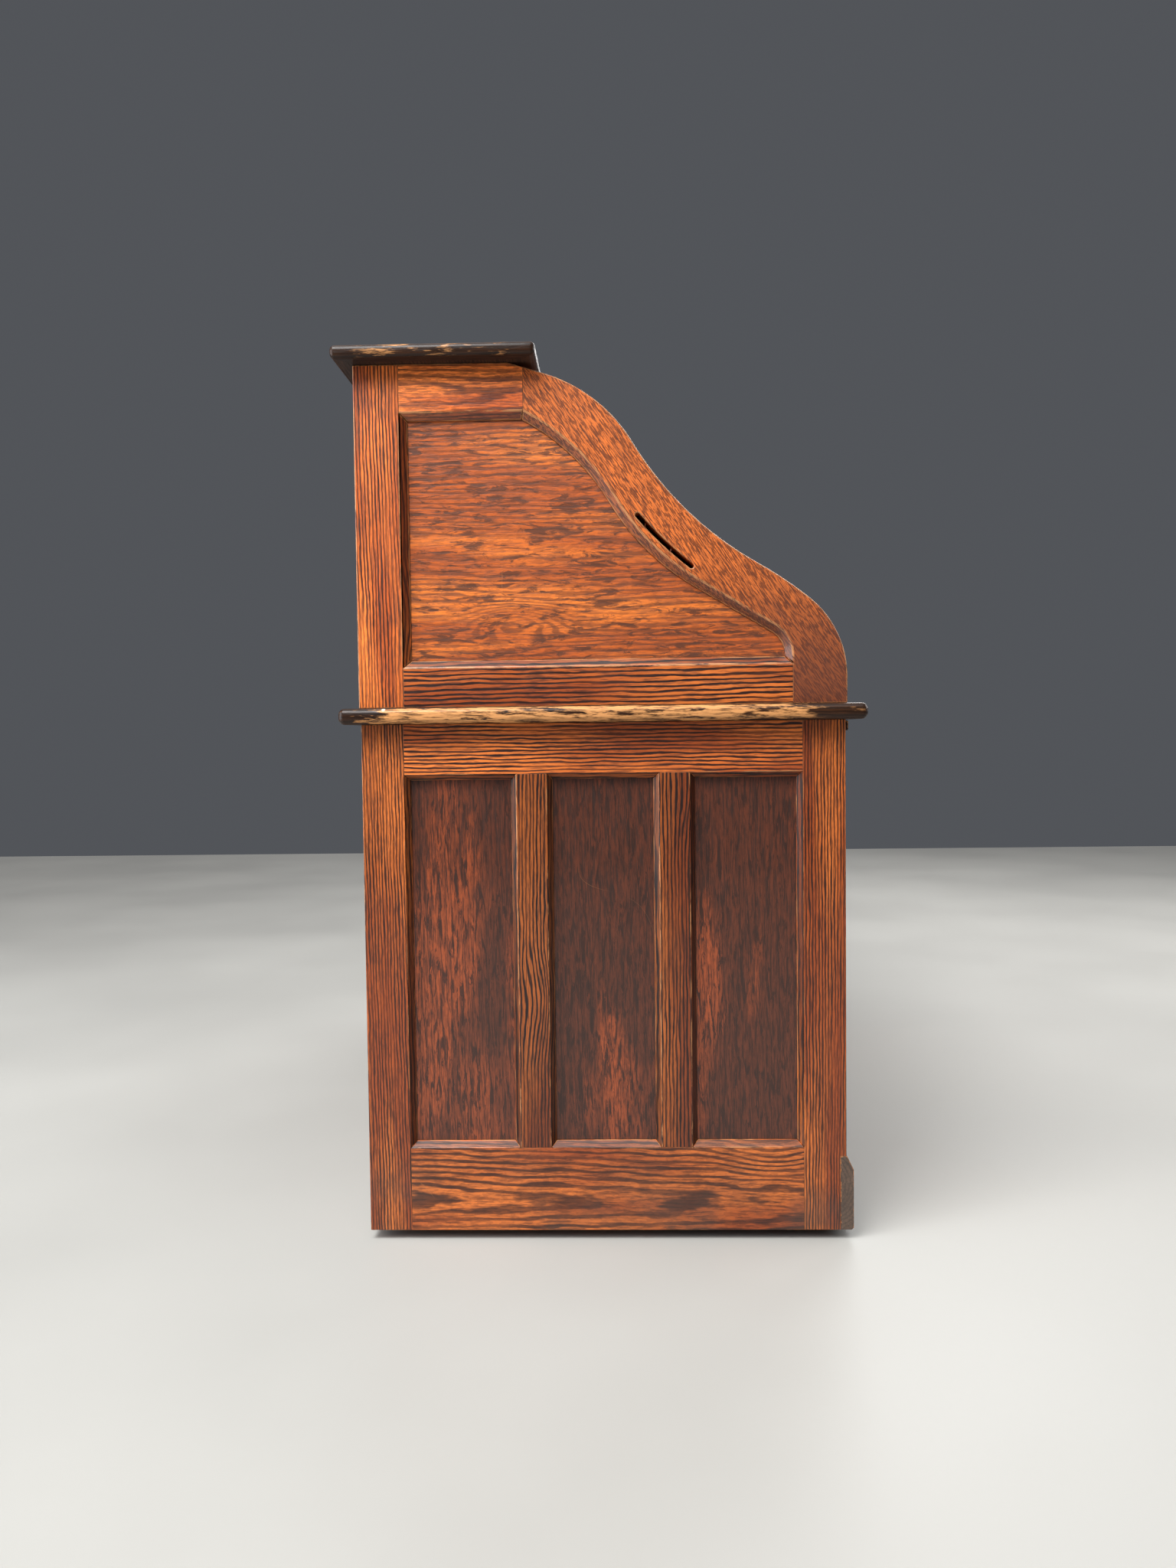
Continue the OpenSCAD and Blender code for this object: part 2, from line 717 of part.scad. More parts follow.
module slats(i) {
    s0 = roll_start + lift_rail_h + (i - 1) * per_group * slat_pitch;
    s1 = s0 + per_group * slat_pitch;
    end = slat_gap / 2 + canvas_end;
    color([0.3, 0.13, 0.07]) {
        along_x(-roll_half, 2 * roll_half)
            track_strip(s0 + end, s1 - end, -slat_in, canvas_t - slat_in, group_steps);
        for (j = [0:per_group - 1])
            along_x(-roll_half, 2 * roll_half) slat_section(s0 + (j + 0.5) * slat_pitch);
    }
}

// ---- nodes ----

left_end_frame();
right_end_frame();
end_panels();
lower_back_frame();
lower_back_panels();
kneehole_sides();
left_dust_boards();
right_dust_boards();
plinths();
glides();
centre_cleats();
writing_top();
left_gable();
right_gable();
gable_panels();
upper_back_frame();
upper_back_panels();
top_board();
gallery_case();
gallery_back_board();
gallery_partitions();
gallery_shelves();
left_writing_slide();
right_writing_slide();
centre_drawer();
centre_knobs();
gallery_drawer_left();
gallery_drawer_right();
gallery_knob_left();
gallery_knob_right();
lift_rail();
lift_knobs();
roll_lock();
for (i = [1:4]) {
    left_drawer(i);
    left_knobs(i);
}
for (i = [1:3]) {
    right_drawer(i);
    right_knobs(i);
}
for (i = [1:groups]) {
    slats(i);
}
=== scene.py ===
import json
import math
import random
from collections import namedtuple

import bmesh
import bpy
import numpy as np
from mathutils import Matrix, Vector
from mathutils.bvhtree import BVHTree


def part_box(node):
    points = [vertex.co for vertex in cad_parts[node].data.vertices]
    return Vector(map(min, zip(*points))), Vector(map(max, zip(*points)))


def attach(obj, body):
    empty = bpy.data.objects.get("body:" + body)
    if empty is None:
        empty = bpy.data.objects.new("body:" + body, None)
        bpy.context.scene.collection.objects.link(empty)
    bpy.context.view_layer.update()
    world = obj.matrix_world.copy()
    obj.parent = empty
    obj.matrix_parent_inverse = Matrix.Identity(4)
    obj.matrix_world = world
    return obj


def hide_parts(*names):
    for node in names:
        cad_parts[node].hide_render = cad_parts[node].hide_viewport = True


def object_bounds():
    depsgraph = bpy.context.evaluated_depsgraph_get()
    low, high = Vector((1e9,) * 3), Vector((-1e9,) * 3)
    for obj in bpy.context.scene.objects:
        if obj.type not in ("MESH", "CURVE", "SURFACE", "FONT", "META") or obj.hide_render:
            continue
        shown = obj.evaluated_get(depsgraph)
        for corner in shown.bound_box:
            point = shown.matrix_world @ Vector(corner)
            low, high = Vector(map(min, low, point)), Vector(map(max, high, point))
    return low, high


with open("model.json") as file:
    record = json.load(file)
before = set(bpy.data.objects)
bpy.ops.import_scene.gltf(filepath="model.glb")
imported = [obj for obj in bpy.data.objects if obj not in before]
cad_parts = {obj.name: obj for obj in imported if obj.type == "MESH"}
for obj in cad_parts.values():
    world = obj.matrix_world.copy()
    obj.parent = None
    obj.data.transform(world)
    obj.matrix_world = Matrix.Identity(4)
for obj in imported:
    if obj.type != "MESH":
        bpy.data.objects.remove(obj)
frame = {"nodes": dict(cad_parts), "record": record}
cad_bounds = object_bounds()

X, Y, Z = Vector((1, 0, 0)), Vector((0, 1, 0)), Vector((0, 0, 1))
BODY_OF = {node: body for body, nodes in frame["record"]["behaviour"]["bodies"].items() for node in nodes}

# Meshes, in metres
WELD = 2e-5              # corners of the CAD closer than this are one
MERGE = 1e-4             # the same after a face is divided
FLAT = math.radians(0.5)   # faces that lean less than this to each other are one
SHARP = math.radians(24)   # an edge that bends more than this is rounded
JOINT_REACH = 0.0008     # a face with wood this close in front of it is a glued joint
EDGE = 0.0010            # rounding of a board's edges
TIGHT_EDGE = 0.00025     # rounding where two boards are glued together
LIPPING = 0.022          # width of the lipping along a top board's ends
DRAWER_FRONT = 0.0195    # how far in from its outside each part of a drawer is reckoned
DRAWER_SIDE = 0.028
DRAWER_BACK = 0.014

# Looks: wear is 1 where the wood is bare, and a tone multiplies a stain's colour
EDGE_WEAR = 0.36         # wear of a rounded edge
SLAB_WEAR = 0.15         # wear of a top board's front and back edges
WEAR_FADE = 0.03         # length over which an end's wear fades towards its corners
# painted shade: a tone below 1 on the sloped sticking stands in for the shade in its recesses
STICKING_SHADE = 0.5           # tone of the sloped sticking round the panels
GABLE_SLOPE = math.radians(55)    # direction of the grain in the gables' curved stiles

# How a board is sawn: the range of the heart's distance aside of and below its middle, how fine its
# rings are, the share of ring lines against short flecks, and its tone
Sawn = namedtuple("Sawn", "aside below fineness figure tone")
SAWN = {
    "fine": Sawn((0.30, 0.60), (0.0, 0.05), fineness=1.25, figure=1.0, tone=0.85),
    "pale": Sawn((0.30, 0.60), (0.0, 0.05), fineness=1.15, figure=1.0, tone=1.30),
    "lined": Sawn((0.16, 0.24), (0.0, 0.05), fineness=0.95, figure=1.2, tone=1.12),
    "banded": Sawn((0.16, 0.24), (0.0, 0.05), fineness=0.8, figure=1.35, tone=0.92),
    "bold": Sawn((0.12, 0.20), (0.02, 0.05), fineness=1.1, figure=1.15, tone=0.50),
    "wild": Sawn((-0.03, 0.03), (0.035, 0.06), fineness=0.7, figure=0.9, tone=0.85),
    "plain": Sawn((-0.02, 0.02), (0.035, 0.09), fineness=0.95, figure=0.85, tone=1.15),
    "light": Sawn((-0.02, 0.02), (0.035, 0.09), fineness=0.95, figure=0.75, tone=1.55),
    "flecked": Sawn((0.30, 0.60), (0.0, 0.05), fineness=1.6, figure=0.2, tone=1.08),
}


# ---- meshes ----

def values_of(collection, attribute, width=1, kind=np.float32):
    """One attribute of a mesh's vertices, faces or corners as an array, a row each where width is 3."""
    values = np.zeros(len(collection) * width, kind)
    collection.foreach_get(attribute, values)
    return values.reshape(-1, width) if width > 1 else values


def plane_through_holes(node):
    """A plane that divides a node's holed faces: a drawer's rim, the lock's face or the slotted stile."""
    low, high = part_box(node)
    if "drawer" in node or node == "roll_lock":
        return (low + high) / 2, X
    if node == "left_gable":
        slot = [opening["box_m"] for opening in frame["record"]["physics"]["openings"]
                if opening["name"].startswith("letter_slot")]
        ends = [(Vector(box[0]) + Vector(box[1])) / 2 for box in slot]
        return (ends[0] + ends[-1]) / 2, ends[-1] - ends[0]
    return None


def welded(node):
    """A CAD node as a bmesh with its triangles joined into whole faces, none of them with a hole."""
    bm = bmesh.new()
    bm.from_mesh(frame["nodes"][node].data)
    bmesh.ops.remove_doubles(bm, verts=bm.verts, dist=WELD)
    plane = plane_through_holes(node)
    if plane:
        everything = bm.verts[:] + bm.edges[:] + bm.faces[:]
        cut = bmesh.ops.bisect_plane(bm, geom=everything, plane_co=plane[0], plane_no=plane[1])
        for element in cut["geom_cut"]:
            if isinstance(element, bmesh.types.BMEdge):
                element.seam = True
        bmesh.ops.remove_doubles(bm, verts=bm.verts, dist=MERGE)
    bmesh.ops.dissolve_limit(bm, angle_limit=FLAT, verts=bm.verts, edges=bm.edges, delimit={"SEAM"})
    return bm


def weigh_edges(bm, tight):
    """Marks the sharp edges for the bevel; those at a glued joint get the share tight of its width."""
    tree = BVHTree.FromBMesh(bm)
    glued = set()
    for face in bm.faces:
        start = face.calc_center_median() + face.normal * WELD
        if tree.ray_cast(start, face.normal, JOINT_REACH)[0] is not None:
            glued.add(face)
    weight = bm.edges.layers.float.new("bevel_weight_edge")
    for edge in bm.edges:
        if len(edge.link_faces) == 2 and edge.calc_face_angle(0) > SHARP:
            edge[weight] = tight if glued.intersection(edge.link_faces) else 1.0


def finished(bm, name, width, segments, worn):
    """The mesh with rounded edges and even shading; its wear attribute on the rounded edges is the given
    wear, which where raised also paints a highlight.
    """
    mesh = bpy.data.meshes.new(name)
    bm.to_mesh(mesh)
    bm.free()
    mesh.polygons.foreach_set("use_smooth", [True] * len(mesh.polygons))
    for slot in ("face", "edge"):
        mesh.materials.append(None)
    edge_slot = 1
    rough = bpy.data.objects.new(name, mesh)
    bpy.context.scene.collection.objects.link(rough)
    bevel = rough.modifiers.new("edges", "BEVEL")
    bevel.limit_method = "WEIGHT"
    bevel.width = width
    bevel.segments = segments
    bevel.use_clamp_overlap = False
    bevel.material = edge_slot
    normals = rough.modifiers.new("normals", "WEIGHTED_NORMAL")
    normals.keep_sharp = True
    depsgraph = bpy.context.evaluated_depsgraph_get()
    result = bpy.data.meshes.new_from_object(rough.evaluated_get(depsgraph), preserve_all_data_layers=True,
                                             depsgraph=depsgraph)
    bpy.data.objects.remove(rough)
    bpy.data.meshes.remove(mesh)
    result.name = name
    index = values_of(result.polygons, "material_index", kind=np.int32)
    wear = result.attributes.new("wear", "FLOAT", "FACE")
    wear.data.foreach_set("value", (index == edge_slot).astype(np.float32) * worn)
    result.polygons.foreach_set("material_index", np.zeros_like(index))
    result.materials.clear()
    return result


def islands(mesh):
    """The number of the loose part that each polygon belongs to."""
    parent = list(range(len(mesh.vertices)))

    def root(i):
        while parent[i] != i:
            parent[i] = parent[parent[i]]
            i = parent[i]
        return i

    for edge in mesh.edges:
        a, b = root(edge.vertices[0]), root(edge.vertices[1])
        parent[a] = b
    roots = [root(polygon.vertices[0]) for polygon in mesh.polygons]
    numbers = {r: i for i, r in enumerate(sorted(set(roots)))}
    return np.array([numbers[r] for r in roots])


# ---- grain ----

def axes_of(size, grain=None):
    """The directions along the grain, across the board and through it, for a board of that size."""
    order = sorted((X, Y, Z), key=lambda axis: -abs(size.dot(axis)))
    along = grain.normalized() if grain else order[0]
    across = next(axis for axis in order if abs(axis.dot(along)) < 0.8)
    through = along.cross(across).normalized()
    return along, through.cross(along).normalized(), through


def write_grain(mesh, name, boards, grain=None, cut="plain"):
    """Writes each corner's place in its own log (wood), and each board's tone and share of ring lines.
    boards numbers the polygons, grain is a direction, cut a name from SAWN, or each a function of the box."""
    corner = values_of(mesh.loops, "vertex_index", kind=np.int32)
    points = values_of(mesh.vertices, "co", 3)[corner]
    board_of_corner = np.repeat(boards, values_of(mesh.polygons, "loop_total", kind=np.int32))
    wood = np.zeros_like(points)
    tones = np.ones(len(mesh.polygons), np.float32)
    figures = np.ones(len(mesh.polygons), np.float32)
    for board in range(int(boards.max()) + 1):
        mine = board_of_corner == board
        low, high = Vector(points[mine].min(0)), Vector(points[mine].max(0))
        rng = random.Random(f"{name}-{board}")
        along, across, through = axes_of(high - low, grain(low, high) if callable(grain) else grain)
        sawn = SAWN[cut(low, high) if callable(cut) else cut]
        tilt = rng.uniform(-0.02, 0.02), rng.uniform(-0.045, 0.045)
        local = (points[mine] - np.array((low + high) / 2)) @ np.array([along, across, through]).T
        local[:, 1] = (local[:, 1] + rng.uniform(*sawn.aside) + local[:, 0] * tilt[0]) * sawn.fineness
        local[:, 2] = (local[:, 2] + rng.uniform(*sawn.below) + local[:, 0] * tilt[1]) * sawn.fineness
        local[:, 0] += rng.uniform(0, 20)
        wood[mine] = local
        tones[boards == board] = sawn.tone * rng.uniform(0.92, 1.08)
        figures[boards == board] = sawn.figure
    mesh.attributes.new("wood", "FLOAT_VECTOR", "CORNER").data.foreach_set("vector", wood.ravel())
    mesh.attributes.new("tone", "FLOAT", "FACE").data.foreach_set("value", tones)
    mesh.attributes.new("figure", "FLOAT", "FACE").data.foreach_set("value", figures)


def paint_sticking_shade(mesh, share):
    """Paints shade into the sloped sticking round the panels: darker recesses that stand in for the shade
    there.
    """
    points = values_of(mesh.vertices, "co", 3)
    thin = (points.max(0) - points.min(0)).argmin()
    lean = np.abs(values_of(mesh.polygons, "normal", 3)[:, thin])
    wear = values_of(mesh.attributes["wear"].data, "value")
    tones = values_of(mesh.attributes["tone"].data, "value")
    tones[(lean > 0.3) & (lean < 0.95) & (wear == 0)] *= share
    mesh.attributes["tone"].data.foreach_set("value", tones)


def centres(mesh):
    """The middle of each polygon."""
    return values_of(mesh.polygons, "center", 3)


def by_slat(mesh):
    """Numbers the polygons of a group of three slats, slat by slat."""
    centre = centres(mesh)[:, 1:]
    middle = centre - centre.mean(0)
    direction = np.linalg.svd(middle, full_matrices=False)[2][0]
    along = middle @ direction
    share = (along - along.min()) / (along.max() - along.min())
    slats = 3
    return np.minimum((share * slats).astype(int), slats - 1)


def by_lipping(mesh):
    """Numbers a top board's polygons: the middle and the lippings along its two ends."""
    x = centres(mesh)[:, 0]
    return np.where(x < x.min() + LIPPING, 1, np.where(x > x.max() - LIPPING, 2, 0))


def by_drawer_part(mesh):
    """Numbers a drawer's polygons: the front, the two sides, the back and the bottom."""
    centre = centres(mesh)
    low, high = centre.min(0), centre.max(0)
    front, left_side, right_side, back, bottom = range(5)
    parts = np.full(len(centre), bottom)
    parts[centre[:, 1] > high[1] - DRAWER_BACK] = back
    parts[centre[:, 0] < low[0] + DRAWER_SIDE] = left_side
    parts[centre[:, 0] > high[0] - DRAWER_SIDE] = right_side
    parts[centre[:, 1] < low[1] + DRAWER_FRONT] = front
    return parts


# ---- pieces ----

def place(mesh, node, name, material):
    """Makes the mesh a piece that stands for a CAD node and rides on its body."""
    mesh.materials.append(material)
    piece = bpy.data.objects.new(name, mesh)
    bpy.context.scene.collection.objects.link(piece)
    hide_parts(node)
    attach(piece, BODY_OF[node])


def timber(node, material, grain=None, cut="plain", boards=islands, width=EDGE, segments=2, worn=EDGE_WEAR,
           sticking=1.0):
    """A CAD node as joined boards with rounded edges, each with its own grain; sticking is the tone of
    painted shade on its sloped faces."""
    bm = welded(node)
    weigh_edges(bm, TIGHT_EDGE / width)
    mesh = finished(bm, node + "_wood", width, segments, worn)
    write_grain(mesh, node, boards(mesh), grain, cut)
    # painted shade on the sloped sticking faces
    if sticking < 1.0:
        paint_sticking_shade(mesh, sticking)
    place(mesh, node, node + "_wood", material)


def outline(low, high, inset, corner, per_corner=7, per_side=24):
    """A rectangle with round corners, moved inward by inset, as points in (x, y)."""
    smallest = 0.0003
    radius = max(corner - inset, smallest)
    corners = []
    for i, (sx, sy) in enumerate(((1, 1), (-1, 1), (-1, -1), (1, -1))):
        cx = (high.x - inset - radius) if sx > 0 else (low.x + inset + radius)
        cy = (high.y - inset - radius) if sy > 0 else (low.y + inset + radius)
        angles = [math.pi / 2 * (i + k / per_corner) for k in range(per_corner + 1)]
        corners.append([Vector((cx + radius * math.cos(a), cy + radius * math.sin(a))) for a in angles])
    points = []
    for this, following in zip(corners, corners[1:] + corners[:1]):
        points += this + [this[-1].lerp(following[0], k / per_side) for k in range(1, per_side)]
    return points


def edge_profile(low_z, high_z, rounding, steps=6):
    """A top board's section from its underside round the edge to its top, as (inset, z)."""
    flat = (0.06, LIPPING, rounding + 0.003)     # insets of the points on the flat faces
    turns = [math.pi / 2 * k / steps for k in range(steps + 1)]
    below = [(rounding * (1 - math.sin(a)), low_z + rounding * (1 - math.cos(a))) for a in turns]
    above = [(rounding * (1 - math.cos(a)), high_z - rounding * (1 - math.sin(a))) for a in turns]
    return [(inset, low_z) for inset in flat] + below + above + [(inset, high_z) for inset in flat[::-1]]


def slab(node, material, rounding, corner, kept, bareness):
    """A top board: rounded edges and corners, its ends bare to the share bareness but for the lengths kept at
    their front and back corners."""
    low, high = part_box(node)
    bm = bmesh.new()
    wear_of = []
    levels = []
    for inset, z in edge_profile(low.z, high.z, rounding):
        level = []
        for x, y in outline(low, high, inset, corner):
            level.append(bm.verts.new((x, y, z)))
            wear_of.append(slab_wear(inset, x, y, low, high, rounding, kept, bareness))
        levels.append(level)
    count = len(levels[0])
    for lower, upper in zip(levels, levels[1:]):
        for i in range(count):
            j = (i + 1) % count
            bm.faces.new((lower[i], lower[j], upper[j], upper[i]))
    bm.faces.new(levels[-1])
    bm.faces.new(levels[0][::-1])
    mesh = bpy.data.meshes.new(node + "_wood")
    bm.to_mesh(mesh)
    bm.free()
    mesh.polygons.foreach_set("use_smooth", [True] * len(mesh.polygons))
    mesh.attributes.new("wear", "FLOAT", "POINT").data.foreach_set("value", wear_of)
    write_grain(mesh, node, by_lipping(mesh), cut="bold")
    place(mesh, node, node + "_wood", material)


def slab_wear(inset, x, y, low, high, rounding, kept, bareness):
    """The wear of a top board at a point: along the ends it is barest between the corners."""
    edge = min(1.0, max(0.0, 1.4 - 1.2 * inset / rounding))
    end_zone = rounding + 0.004
    if min(x - low.x, high.x - x) >= end_zone:
        return edge * SLAB_WEAR
    from_kept = min(y - low.y - kept[0], high.y - y - kept[1])
    bare = min(1.0, max(0.0, from_kept / WEAR_FADE))
    return edge * (SLAB_WEAR + (bareness - SLAB_WEAR) * bare)


# ---- materials ----

class Graph:
    """A material whose nodes are made by short calls; an input is a socket or a plain value."""

    def __init__(self, name):
        self.material = bpy.data.materials.new(name)
        self.material.use_nodes = True
        self.tree = self.material.node_tree
        self.shader = self.tree.nodes["Principled BSDF"]

    def feed(self, socket, value):
        """Links a socket to the value, or sets it there where the value is plain."""
        if isinstance(value, bpy.types.NodeSocket):
            self.tree.links.new(value, socket)
        else:
            socket.default_value = value

    def add(self, kind, inputs=None, **settings):
        node = self.tree.nodes.new(kind)
        for key, value in settings.items():
            setattr(node, key, value)
        for key, value in (inputs or {}).items():
            self.feed(node.inputs[key], value)
        return node

    def math(self, operation, a, b=0.0, c=0.0):
        return self.add("ShaderNodeMath", {0: a, 1: b, 2: c}, operation=operation).outputs[0]

    def vector(self, operation, a, b=(0, 0, 0)):
        return self.add("ShaderNodeVectorMath", {0: a, 1: b}, operation=operation).outputs[0]

    def step(self, value, low, high, to_low=0.0, to_high=1.0):
        """A smooth step from to_low, where the value is low, to to_high, where it is high."""
        inputs = {"Value": value, "From Min": low, "From Max": high, "To Min": to_low, "To Max": to_high}
        return self.add("ShaderNodeMapRange", inputs, interpolation_type="SMOOTHSTEP").outputs[0]

    def mix(self, share, a, b):
        """The colour a at a share of 0, b at 1."""
        return self.add("ShaderNodeMix", {0: share, 6: a, 7: b}, data_type="RGBA").outputs[2]

    def attribute(self, name, output="Fac"):
        return self.add("ShaderNodeAttribute", attribute_name=name).outputs[output]

    def position(self):
        return self.add("ShaderNodeTexCoord").outputs["Object"]

    def noise(self, vector, stretch, detail=2.0, rough=0.5, distortion=0.0, output=0):
        """Noise about 0.5 with stretch waves to the metre along each axis; output 1 is a colour."""
        inputs = {"Vector": self.vector("MULTIPLY", vector, stretch), "Scale": 1.0, "Detail": detail,
                  "Roughness": rough, "Distortion": distortion}
        return self.add("ShaderNodeTexNoise", inputs).outputs[output]

    def bump(self, height, strength, distance):
        inputs = {"Height": height, "Strength": strength, "Distance": distance}
        self.feed(self.shader.inputs["Normal"], self.add("ShaderNodeBump", inputs).outputs[0])

    def surface(self, colour, roughness, **constants):
        """Feeds the shader; the constants are its other inputs, with _ for a space."""
        self.feed(self.shader.inputs["Base Color"], colour)
        self.feed(self.shader.inputs["Roughness"], roughness)
        for name, value in constants.items():
            self.shader.inputs[name.replace("_", " ")].default_value = value


def rgb(red, green, blue):
    return (red, green, blue, 1.0)


def ring_lines(g, wood, figure, spacing, bend, knots):
    """The dark lines between a log's growth rings, 0 to 1, bent by slow noise and by sparse knots."""
    drift = g.vector("SUBTRACT", g.noise(wood, (1.6, 7, 7), output=1), (0.5, 0.5, 0.5))
    bent = g.vector("ADD", wood, g.vector("MULTIPLY", drift, (0, bend, bend)))
    radius = g.add("ShaderNodeVectorMath", {0: g.vector("MULTIPLY", bent, (0, 1, 1))},
                   operation="LENGTH").outputs["Value"]
    cell = g.add("ShaderNodeTexVoronoi", {"Vector": g.vector("MULTIPLY", wood, (3.2, 9, 9)), "Scale": 1.0})
    near = g.step(cell.outputs["Distance"], 0.32, 0.0)
    chosen = g.step(g.noise(cell.outputs["Position"], (1, 1, 1), detail=0.0), 0.55, 0.6)
    swell = g.math("MULTIPLY", g.math("MULTIPLY", near, chosen), knots)
    wobble = g.math("MULTIPLY", g.math("SUBTRACT", g.noise(wood, (16, 90, 90), detail=3.0), 0.5), 1.3)
    phase = g.math("ADD", g.math("MULTIPLY", g.math("ADD", radius, swell), 1 / spacing), wobble)
    wave = g.math("SINE", g.math("MULTIPLY", phase, 2 * math.pi))
    boldness = g.step(g.noise(wood, (6, 40, 40)), 0.32, 0.6, 0.6, 1.0)
    return g.math("MULTIPLY", g.math("MULTIPLY", g.step(wave, -0.25, 0.75), boldness), figure)


def stained(g, base, dark, marks):
    """The base colour, darkened by each mark to its strength, times the board's tone."""
    clear = 1.0
    for mark, strength in marks:
        clear = g.math("MULTIPLY", g.math("MULTIPLY_ADD", mark, -strength, 1.0), clear)
    colour = g.vector("SCALE", g.mix(clear, rgb(*dark), base))
    g.feed(colour.node.inputs["Scale"], g.attribute("tone"))
    return colour


def age_and_shade(g, colour, figure, where, bare):
    """The colour with painted shade darkening the curved stiles' lower ends, grime near the floor, and
    scratches.
    """
    height = g.add("ShaderNodeSeparateXYZ", {0: where}).outputs[2]
    # painted shade: the flecked curved stiles darken to a dark purple-brown towards their lower ends
    lower_end_shade = g.math("MULTIPLY", g.step(height, 1.02, 0.8), g.step(figure, 0.6, 0.4))
    colour = g.mix(g.math("MULTIPLY", lower_end_shade, 0.75), colour, rgb(0.075, 0.026, 0.018))
    low_down = g.step(height, 0.16, 0.0)
    grime = g.math("MULTIPLY", low_down, g.step(g.noise(where, (9, 9, 9), detail=4.0), 0.4, 0.65))
    colour = g.mix(g.math("MULTIPLY", grime, 0.55), colour, rgb(0.05, 0.035, 0.028))
    trace = g.math("ABSOLUTE", g.math("SUBTRACT", g.noise(where, (7, 7, 7), detail=0.0), 0.5))
    scratch = g.math("MULTIPLY", g.step(trace, 0.0016, 0.0006), g.step(g.noise(where, (5, 5, 5)), 0.62, 0.68))
    return g.mix(g.math("MULTIPLY", scratch, 0.35), colour, rgb(*bare))


def rubbed(g, colour, wood, where, bare, chips):
    """The colour with bare wood and chips on the rubbed edges, and where it is bare; on the gables' edges the
    bare wood is also a painted highlight line.
    """
    wear = g.attribute("wear")
    reach = g.math("MULTIPLY_ADD", wear, 0.5, g.noise(wood, (20, 120, 120), detail=4.0, rough=0.7))
    worn = g.math("MULTIPLY", g.step(reach, 0.64, 0.76), g.step(wear, 0.0, 0.3))
    stain = g.noise(wood, (30, 300, 300), detail=4.0, rough=0.65)
    bare_wood = g.mix(g.step(stain, 0.46, 0.66), rgb(*bare), rgb(*[v * 0.22 for v in bare]))
    colour = g.mix(worn, colour, bare_wood)
    if chips:
        cell = g.add("ShaderNodeTexVoronoi", {"Vector": where, "Scale": 30.0})
        spot = g.step(cell.outputs["Distance"], chips, chips * 0.6)
        chosen = g.step(g.noise(cell.outputs["Position"], (9, 9, 9), detail=0.0), 0.6, 0.62)
        chip = g.math("MULTIPLY", g.math("MULTIPLY", spot, chosen), g.step(wear, 0.2, 0.5))
        colour = g.mix(chip, colour, rgb(0.72, 0.66, 0.55))
    return colour, worn


def varnish(g, where, pore, worn, gloss):
    """The roughness: smeared varnish, duller in the pores, on bare wood and on undersides."""
    normal = g.add("ShaderNodeSeparateXYZ", {0: g.add("ShaderNodeNewGeometry").outputs["Normal"]})
    unvarnished = g.step(normal.outputs[2], -0.7, -0.95)
    dull = g.math("MULTIPLY_ADD", pore, 0.12, g.math("MULTIPLY", worn, 0.25))
    dull = g.math("MULTIPLY_ADD", unvarnished, 0.5, dull)
    smear = g.noise(where, (6, 6, 6), detail=3.0)
    return g.math("ADD", g.math("MULTIPLY_ADD", smear, 0.12, gloss - 0.06), dull)


def oak(name, dark, mid, light, spacing=0.0055, bend=0.012, knots=0.012, lines=0.8, pores=0.5, mottle=0.2,
        streaks=(9, 55, 55), cloud_size=(2, 16, 16), clouds=(0.38, 0.62), bare=(0.42, 0.17, 0.06),
        gloss=0.40, coat=0.35, chips=0.0, specular=0.35):
    """Stained and varnished oak: ring lines, pore streaks, dark patches, bare edges, grime and scratches.
    lines, pores and mottle are how strong the first three are, streaks the patches' fineness, and
    cloud_size and clouds the fineness and the limits of the slow change from the mid to the light stain."""
    g = Graph(name)
    wood = g.attribute("wood", "Vector")
    figure = g.attribute("figure")
    where = g.position()
    ring = ring_lines(g, wood, figure, spacing, bend, knots)
    pore = g.step(g.noise(wood, (26, 480, 480), detail=3.0, rough=0.62), 0.46, 0.64)
    patch = g.step(g.noise(wood, streaks, detail=5.0, rough=0.68, distortion=0.8), 0.49, 0.6)
    fleck = g.step(g.noise(wood, (80, 330, 330), detail=2.0), 0.47, 0.55)
    fleck = g.math("MULTIPLY", fleck, g.math("MULTIPLY_ADD", figure, -0.75, 1.0))
    cloud = g.step(g.noise(wood, cloud_size, detail=3.0), *clouds)
    cloud = g.math("MULTIPLY_ADD", g.math("SUBTRACT", cloud, 0.55), g.step(figure, 0.2, 0.8), 0.55)
    marks = ((ring, lines), (pore, pores), (patch, mottle), (fleck, 0.8))
    colour = stained(g, g.mix(cloud, rgb(*mid), rgb(*light)), dark, marks)
    colour = age_and_shade(g, colour, figure, where, bare)
    colour, worn = rubbed(g, colour, wood, where, bare, chips)
    roughness = varnish(g, where, pore, worn, gloss)
    g.bump(g.math("ADD", g.math("MULTIPLY", pore, -0.6), g.math("MULTIPLY", ring, -0.4)), 0.35, 0.0004)
    g.surface(colour, roughness, Coat_Weight=coat, Coat_Roughness=0.1, Specular_IOR_Level=specular)
    return g.material


def metal(name, colour, tarnish, roughness):
    """Old metal with tarnish in patches and fine pits."""
    g = Graph(name)
    where = g.position()
    patch = g.step(g.noise(where, (60, 60, 60), detail=4.0), 0.4, 0.65)
    pits = g.noise(where, (900, 900, 900), detail=2.0)
    g.bump(pits, 0.2, 0.0002)
    rough = g.step(patch, 0, 1, roughness, roughness + 0.25)
    g.surface(g.mix(patch, rgb(*colour), rgb(*tarnish)), rough, Metallic=1.0)
    return g.material


